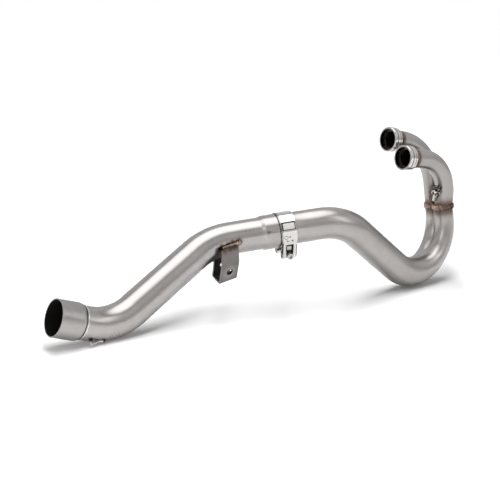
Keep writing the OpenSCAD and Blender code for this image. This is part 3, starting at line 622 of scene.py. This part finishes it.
def lobed(a, r):
    """Radius at angle a of the two-lobed section whose lobes have radius r."""
    waist = math.sqrt(math.cos(a) ** 2 + 0.02)
    return LOBE_MID * waist + math.sqrt(r * r - (LOBE_MID * math.sin(a)) ** 2)


def on_bend(start, way, side, radius, a):
    """Point and direction, an angle round a bend that leaves start along way and turns to side."""
    point = start + way * radius * math.sin(a) + side * radius * (1 - math.cos(a))
    return point, way * math.cos(a) + side * math.sin(a)


def down_pipe_stations():
    """From the ring weld to the joint: point, direction, share of the lobed form and turn of the lobes."""
    first, last = -RING_DIR, (HIGH - LOW).normalized()
    low_turn = first.angle(last)
    lobed_turn = low_turn * LOBE_REACH
    neck = (LOW - RING).length - LOW_BEND * math.tan(low_turn / 2)
    low = RING + first * neck, first, square_to(last, first), LOW_BEND
    stations = []
    for k in range(LOBED_RINGS + 1):
        step = LOBED_STEPS * k / LOBED_RINGS
        place = RING + first * neck * step / NECK_STEPS, first
        if step > NECK_STEPS:
            place = on_bend(*low, lobed_turn * (step - NECK_STEPS) / BEND_STEPS)
        u = min(1.0, (1 - step / LOBED_STEPS) / LOBE_FADE)
        spin = LOBE_TWIST * math.sin(math.pi / 2 * min(1.0, 2 * step / LOBED_STEPS))
        stations.append((*place, u * u * (3 - 2 * u), spin))
    for k in range(1, LOW_RINGS + 1):
        a = lobed_turn + (low_turn - lobed_turn) * k / LOW_RINGS
        stations.append((*on_bend(*low, a), 0.0, LOBE_TWIST))
    high_turn = last.angle(-JOINT_DIR)
    high = HIGH - last * HIGH_BEND * math.tan(high_turn / 2), last, square_to(-JOINT_DIR, last), HIGH_BEND
    for k in range(HIGH_RINGS + 1):
        stations.append((*on_bend(*high, high_turn * k / HIGH_RINGS), 0.0, LOBE_TWIST))
    slip_end = CLAMP_AT + CLAMP_WIDTH / 2 - SOCKET_LEN + SLIP_OVERRUN
    stations.append((KNEE + JOINT_DIR * slip_end, -JOINT_DIR, 0.0, LOBE_TWIST))
    return stations


def down_pipe_mesh():
    points, before = [[], []], LOBE_DIR
    stations = down_pipe_stations()
    for point, way, share, spin in stations:
        before = square_to(LOBE_DIR if share > 0 else before, way)
        x = before * math.cos(spin) - way.cross(before) * math.sin(spin)
        y = way.cross(x)
        for j in range(AROUND):
            a = 2 * math.pi * j / AROUND
            ray = x * math.cos(a) + y * math.sin(a)
            for inset, layer in zip((0.0, WALL), points):
                r = (1 - share) * (PIPE_R - inset) + share * lobed(a, TUBE_R + LOBE_OVER - inset)
                layer.append(point + ray * r)
    end = len(stations) - 1

    def at(layer, i, j):
        return (layer * len(stations) + i) * AROUND + j % AROUND

    faces = []
    for j in range(AROUND):
        for i in range(end):
            faces.append((at(0, i, j), at(0, i, j + 1), at(0, i + 1, j + 1), at(0, i + 1, j)))
            faces.append((at(1, i, j), at(1, i + 1, j), at(1, i + 1, j + 1), at(1, i, j + 1)))
        faces.append((at(0, 0, j), at(1, 0, j), at(1, 0, j + 1), at(0, 0, j + 1)))
        faces.append((at(0, end, j), at(0, end, j + 1), at(1, end, j + 1), at(1, end, j)))
    return mesh_of("down_pipe_skin", points[0] + points[1], faces, smooth=True)


piece("down_pipe_skin", down_pipe_mesh(), "tube", ["down_pipe"])


# Rippled weld beads: a chain of overlapping scales laid along a path by Geometry Nodes
def scale_mesh():
    """One scale, whose attribute of painted light is highest on the side that shows and lowest, as painted
    shade, on the sides that lie in the valleys.
    """
    made = bpy.data.meshes.new("weld_scale")
    shape = bmesh.new()
    bmesh.ops.create_icosphere(shape, subdivisions=3, radius=1.0)
    ripple_shading = shape.verts.layers.float.new("ripple_shading")
    for vert in shape.verts:
        vert[ripple_shading] = max(0.0, min(1.0, 0.1 + 0.85 * vert.co.y + 0.6 * vert.co.z))
    for face in shape.faces:
        face.smooth = True
    shape.to_mesh(made)
    shape.free()
    return made


def named_vector(tree, name):
    made = node(tree, "GeometryNodeInputNamedAttribute", Name=name)
    made.data_type = "FLOAT_VECTOR"
    return made.outputs["Attribute"]


def bead_tree():
    """Sets a scale piece on every point, by the points' own turn and size and a random change of size."""
    tree, given, out = group("weld_ripples", [
        ("Geometry", "NodeSocketGeometry", None), ("Seed", "NodeSocketInt", None),
        ("Scale piece", "NodeSocketObject", None), ("Metal", "NodeSocketMaterial", None),
        ("Smallest", NUMBER, 0.84), ("Largest", NUMBER, 1.14),
    ], [("Geometry", "NodeSocketGeometry")], "GeometryNodeTree")
    info = node(tree, "GeometryNodeObjectInfo", Object=given["Scale piece"])
    vary = tree.nodes.new("FunctionNodeRandomValue")
    vary.data_type = "FLOAT"
    for label, value in (("Min", given["Smallest"]), ("Max", given["Largest"]), ("Seed", given["Seed"])):
        feed(tree, vary.inputs[label], value)
    grow = node(tree, "ShaderNodeVectorMath")
    grow.operation = "SCALE"
    feed(tree, grow.inputs[0], named_vector(tree, "size"))
    feed(tree, grow.inputs["Scale"], vary.outputs["Value"])
    turned = node(tree, "FunctionNodeEulerToRotation", Euler=named_vector(tree, "turn"))
    lay = node(tree, "GeometryNodeInstanceOnPoints", Points=given["Geometry"],
               Instance=info.outputs["Geometry"], Rotation=turned.outputs["Rotation"],
               Scale=grow.outputs["Vector"])
    real = node(tree, "GeometryNodeRealizeInstances", Geometry=lay.outputs["Instances"])
    paint = node(tree, "GeometryNodeSetMaterial", Geometry=real.outputs["Geometry"], Material=given["Metal"])
    feed(tree, out["Geometry"], paint.outputs["Geometry"])
    return tree


RIPPLES = bead_tree()
SCALE = bpy.data.objects.new("weld_scale", scale_mesh())


def bead(name, places, finish, replaced, seed, shape=SCALE):
    """places holds each ripple's middle, its way along the bead, its way out of the tube and half sizes."""
    mesh = bpy.data.meshes.new(name)
    mesh.from_pydata([tuple(place[0] * MM) for place in places], [], [])
    turns, sizes = [], []
    for _, way, out, half in places:
        y = way.normalized()
        z = square_to(out, y)
        turns += list(Matrix((y.cross(z), y, z)).transposed().to_euler())
        sizes += [h * MM for h in half]
    mesh.attributes.new("turn", "FLOAT_VECTOR", "POINT").data.foreach_set("vector", turns)
    mesh.attributes.new("size", "FLOAT_VECTOR", "POINT").data.foreach_set("vector", sizes)
    holder = bpy.data.objects.new(name, mesh)
    SCENE.collection.objects.link(holder)
    laid = holder.modifiers.new("ripples", "NODES")
    laid.node_group = RIPPLES
    ids = {item.name: item.identifier for item in RIPPLES.interface.items_tree if item.in_out == "INPUT"}
    for label, value in (("Seed", seed), ("Scale piece", shape), ("Metal", MATERIALS[finish])):
        laid[ids[label]] = value
    graph = bpy.context.evaluated_depsgraph_get()
    solid = bpy.data.meshes.new_from_object(holder.evaluated_get(graph))
    solid.name = name
    bpy.data.objects.remove(holder)
    piece(name, solid, finish, replaced)


# The ring weld's bead round both lobes, its ripples evenly spaced along it
OUTLINE_POINTS, RING_RIPPLES = 720, 62
RING_LIFT, RING_SINK = 1.6, 0.2
RING_SLANT, RING_HALF = 0.45, (5.7, 1.5, 2.8)


def ring_outline():
    side = RING_DIR.cross(LOBE_DIR)
    points = []
    for k in range(OUTLINE_POINTS):
        a = 2 * math.pi * k / OUTLINE_POINTS
        points.append(RING + (LOBE_DIR * math.cos(a) + side * math.sin(a)) * lobed(a, TUBE_R))
    return points


def collector_places():
    points = ring_outline()
    lengths = [0.0]
    for k, point in enumerate(points):
        lengths.append(lengths[-1] + (points[(k + 1) % OUTLINE_POINTS] - point).length)
    places, k = [], 0
    for n in range(RING_RIPPLES):
        while lengths[k + 1] < n * lengths[-1] / RING_RIPPLES:
            k += 1
        here, ahead = points[k], points[(k + 4) % OUTLINE_POINTS]
        way = (ahead - here).normalized()
        out = way.cross(RING_DIR)
        if out.dot(here - RING) < 0:
            out = -out
        middle = here + RING_DIR * RING_LIFT - out * RING_SINK
        places.append((middle, way + RING_DIR * RING_SLANT, out, RING_HALF))
    return places


bead("collector_bead", collector_places(), "ring_weld", ["collector_weld"], 3)


# Beads round the two tubes behind their collars
def ring_places(middle, axis, radius, count, half, slant):
    side = square_to(vec(0, 1, 0), axis)
    across = axis.cross(side)
    places = []
    for k in range(count):
        a = 2 * math.pi * k / count
        ray = side * math.cos(a) + across * math.sin(a)
        way = across * math.cos(a) - side * math.sin(a)
        places.append((middle + ray * radius, way + axis * slant, ray, half))
    return places


for label, port in (("near", NEAR_PORT), ("far", FAR_PORT)):
    middle = port + PORT_DIR * (COLLAR_LEN + 2)
    ripples = ring_places(middle, PORT_DIR, TUBE_R + 0.35, 58, (2.1, 1.2, 1.35), 0.3)
    bead("collar_bead_" + label, ripples, "port_weld", ["collar_weld_" + label], 5)


# Beads along a line, with their ripples standing across it
def line_places(a, b, out, pitch, half, slant=0.0):
    way = (b - a).normalized()
    count = max(2, round((b - a).length / pitch) + 1)
    side = way.cross(out).normalized()
    return [(a.lerp(b, k / (count - 1)), way + side * slant, out, half) for k in range(count)]


# The seam beads up the valley between the primary tubes
SEAM_R = BEAD + 2
SEAM_NEAR, SEAM_FAR = NEAR_FOOT + NEAR_LEG * RING_DROP / 3, FAR_FOOT + FAR_LEG * RING_DROP / 3
SEAM_RISE = ((SEAM_NEAR + SEAM_FAR) / 2 - RING).normalized()
SEAM_OUT = SEAM_RISE.cross(square_to(SEAM_FAR - SEAM_NEAR, SEAM_RISE))
VALLEY = math.sqrt(TUBE_R ** 2 - LOBE_MID ** 2)


def leg_gap(h):
    return ((FAR_FOOT + FAR_LEG * h) - (NEAR_FOOT + NEAR_LEG * h)).length


SEAM_TOP = LOBE_LAP / (leg_gap(1) - leg_gap(0)) * 0.95
for label, sign, seed in (("rear", 1, 11), ("front", -1, 12)):
    low = RING + SEAM_RISE * SEAM_R + SEAM_OUT * sign * (VALLEY + SEAM_R - 0.2)
    high = RING + SEAM_RISE * SEAM_TOP + SEAM_OUT * sign * SEAM_R * 2
    ripples = line_places(low, high, SEAM_OUT * sign, 2.5, (4.4, 1.45, 4.5))
    bead("seam_bead_" + label, ripples, "ring_weld", ["seam_weld_" + label], seed)

BRACKET_WELDS = [("near", NEAR_WELD, vec(0.1, -0.95, -0.2), 21), ("far", FAR_WELD, vec(0, 0.4, -0.9), 22)]
for label, ends, out, seed in BRACKET_WELDS:
    ripples = line_places(*ends, out, 2.0, (2.9, 1.7, 2.9), 0.25)
    bead("bracket_bead_" + label, ripples, "pale_weld", ["bracket_weld_" + label], seed)


# Clamp details: black pieces of painted shade beside the band's edge, round the lap, in the strap's window
# and along the strap's edges; the bar in the window; a lighter plate for the lap; and the lap's teeth
def plate(name, sections, finish, closed=False):
    """A solid through four-cornered sections, in a ring where closed."""
    count = len(sections)
    faces = []
    for k in range(count if closed else count - 1):
        here, there = 4 * k, 4 * ((k + 1) % count)
        faces += [(here + i, here + (i + 1) % 4, there + (i + 1) % 4, there + i) for i in range(4)]
    if not closed:
        end = 4 * (count - 1)
        faces += [(0, 1, 2, 3), (end + 3, end + 2, end + 1, end)]
    points = [corner for section in sections for corner in section]
    piece(name, mesh_of(name, points, faces, smooth=False), finish, [])


def band_plate(name, degrees, along, heights, finish, steps=24):
    """A curved plate on the band, or a whole ring round it."""
    closed = degrees[1] - degrees[0] == 360
    (back, front), (low, high) = along, heights
    sections = []
    for k in range(steps if closed else steps + 1):
        a = degrees[0] + (degrees[1] - degrees[0]) * k / steps
        corners = ((back, low), (front, low), (front, high), (back, high))
        sections.append([on_clamp(a, x, r) for x, r in corners])
    plate(name, sections, finish, closed)


def leg_plate(name, downs, along, heights, finish, crown=0.0, steps=10):
    """A flat plate on the leg, or a bar across it where crown gives how far its middle stands proud."""
    (back, front), (low, high) = along, heights
    sections = []
    for k in range(steps + 1):
        down = downs[0] + (downs[1] - downs[0]) * k / steps
        top = high + crown * math.sin(math.pi * k / steps)
        corners = ((back, low), (front, low), (front, top), (back, top))
        sections.append([on_leg(down, x, out) for x, out in corners])
    plate(name, sections, finish)


# Painted shade in black beside the band's edge and round the lap, a lighter plate as painted highlight on the
# lap, and painted shade in the strap's window and along its edges
band_plate("clamp_liner_edge", (0, 360), (-14.8, -13.7), (26.86, 27.7), "slot", steps=96)
band_plate("clamp_lap_rim", (140, 163), (-11.2, 9.6), (28.42, 28.62), "slot")
band_plate("clamp_lap_end", (142, 161), (-10.0, 8.2), (28.62, 29.0), "lap")
leg_plate("clamp_window", (9.5, 22.5), (-6.6, 5.6), (-0.1, 0.12), "slot")
leg_plate("clamp_window_bar", (12.0, 20.5), (-5.2, 1.8), (0.12, 0.2), "bolt", crown=1.2)
leg_plate("clamp_strap_hem_left", (6.0, 31.5), (-11.6, -10.7), (-0.1, 0.15), "slot")
leg_plate("clamp_strap_hem_right", (10.0, 31.5), (10.5, 11.3), (-0.1, 0.15), "slot")

# The lap's pointed notches, in a row across the strap, black as painted shade
NOTCH_CORNERS = [(-0.5, -0.9), (0.5, -0.9), (0.5, 0.3), (0, 0.9), (-0.5, 0.3)]
NOTCH_COUNT, NOTCH_PITCH, NOTCH_FIRST = 10, 2.02, -10.2
NOTCH_AT, NOTCH_TOWARDS = 139.5, 134
NOTCH_R, NOTCH_HALF = BAND_FACE + 0.05, (1.75, 1.7, 0.5)


def notch_mesh():
    made = bpy.data.meshes.new("lap_notch")
    count = len(NOTCH_CORNERS)
    walls = [(i, (i + 1) % count, (i + 1) % count + count, i + count) for i in range(count)]
    made.from_pydata([(x, y, z) for z in (-0.5, 0.5) for x, y in NOTCH_CORNERS], [],
                     [tuple(range(count))[::-1], tuple(range(count, 2 * count))] + walls)
    return made


def notch_places():
    places = []
    for k in range(NOTCH_COUNT):
        along = NOTCH_FIRST + NOTCH_PITCH * k
        middle = on_clamp(NOTCH_AT, along, NOTCH_R)
        way = on_clamp(NOTCH_TOWARDS, along, NOTCH_R) - middle
        places.append((middle, way, middle - on_clamp(NOTCH_AT, along, 0), NOTCH_HALF))
    return places


NOTCH = bpy.data.objects.new("lap_notch", notch_mesh())
bead("clamp_lap_teeth", notch_places(), "slot", [], 31, NOTCH)
bpy.data.objects.remove(NOTCH)
bpy.data.objects.remove(SCALE)


# Floor, background and lamps
def seen_share(tree, strength):
    """strength for the rays that see the background: the camera's, and those off or through a piece."""
    rays = tree.nodes.new("ShaderNodeLightPath").outputs
    seen = math_node(tree, "ADD", rays["Is Camera Ray"], rays["Is Glossy Ray"])
    seen = math_node(tree, "ADD", seen, rays["Is Transmission Ray"], clamp=True)
    return math_node(tree, "MULTIPLY", seen, strength)


FLOOR_HALF, FLOOR_COLOUR = 6.0, (0.93, 0.93, 0.93)


def floor():
    """A pale plain floor that glows more with distance, so that it has no far edge."""
    mesh = bpy.data.meshes.new("studio_floor")
    corners = [(-1, -1), (1, -1), (1, 1), (-1, 1)]
    mesh.from_pydata([(x * FLOOR_HALF, y * FLOOR_HALF, GROUND * MM) for x, y in corners], [], [(0, 1, 2, 3)])
    made = bpy.data.objects.new("studio_floor", mesh)
    SCENE.collection.objects.link(made)
    white, tree, shader = material("studio_floor")
    shader.inputs["Base Color"].default_value = rgba(FLOOR_COLOUR)
    shader.inputs["Roughness"].default_value = 0.9
    shader.inputs["Specular IOR Level"].default_value = 0.0
    away = vector_node(tree, "LENGTH", object_place(tree))
    far = node(tree, "ShaderNodeMapRange", Value=away, From_Min=0.5, From_Max=1.6, To_Min=0.05, To_Max=1.0)
    glow = node(tree, "ShaderNodeEmission", Strength=seen_share(tree, far.outputs["Result"]))
    both = tree.nodes.new("ShaderNodeAddShader")
    feed(tree, both.inputs[0], shader.outputs["BSDF"])
    feed(tree, both.inputs[1], glow.outputs["Emission"])
    feed(tree, tree.nodes["Material Output"].inputs["Surface"], both.outputs["Shader"])
    mesh.materials.append(white)


# Greys of the room in reflections, from straight down to straight up: a dark ring below a bright ceiling
ROOM = [(0.0, 0.8), (0.5, 0.62), (0.60, 0.55), (0.70, 0.78), (0.82, 0.90),
        (0.88, 0.50), (0.905, 0.20), (0.92, 0.24), (0.933, 2.5), (0.99, 3.1)]
ROOM_LIGHT = 0.18


def world():
    """White where the camera sees it, the room's greys in reflections, and a low even light for the rest."""
    made = bpy.data.worlds.new("studio")
    SCENE.world = made
    made.use_nodes = True
    tree = made.node_tree
    way = tree.nodes.new("ShaderNodeTexCoord")
    split = node(tree, "ShaderNodeSeparateXYZ", Vector=way.outputs["Generated"])
    height = math_node(tree, "MULTIPLY", math_node(tree, "ADD", split.outputs["Z"], 1.0), 0.5)
    room = ramp(tree, height, [(place, (grey, grey, grey)) for place, grey in ROOM])
    plain = tree.nodes["Background"]
    feed(tree, plain.inputs["Color"], room)
    plain.inputs["Strength"].default_value = ROOM_LIGHT
    seen = node(tree, "ShaderNodeBackground", Color=rgba(WHITE), Strength=1.0)
    shiny = node(tree, "ShaderNodeBackground", Color=room, Strength=1.0)
    rays = tree.nodes.new("ShaderNodeLightPath").outputs
    light = plain.outputs[0]
    for ray, after in (("Is Glossy Ray", shiny), ("Is Camera Ray", seen), ("Is Transmission Ray", seen)):
        pick = node(tree, "ShaderNodeMixShader", Fac=rays[ray])
        feed(tree, pick.inputs[1], light)
        feed(tree, pick.inputs[2], after.outputs[0])
        light = pick.outputs[0]
    feed(tree, tree.nodes["World Output"].inputs["Surface"], light)


def lamp(name, place, aim, width, length, power, seen=True):
    made = bpy.data.lights.new(name, "AREA")
    made.shape = "RECTANGLE"
    made.size = width
    made.size_y = length
    made.energy = power
    held = bpy.data.objects.new(name, made)
    SCENE.collection.objects.link(held)
    held.location = place
    held.visible_glossy = seen
    held.rotation_euler = (Vector(aim) - Vector(place)).to_track_quat("-Z", "Y").to_euler()


floor()
world()
lamp("overhead", (-0.22, -0.02, 1.15), (-0.25, 0.0, -0.1), 1.9, 0.3, 26.0, seen=False)
lamp("left", (-1.6, -0.7, 0.75), (-0.3, 0, -0.1), 0.35, 1.1, 3.0)
lamp("right", (0.7, -1.3, 0.9), (-0.2, 0, -0.1), 0.3, 1.1, 2.5)

SCENE.view_settings.view_transform = "Standard"
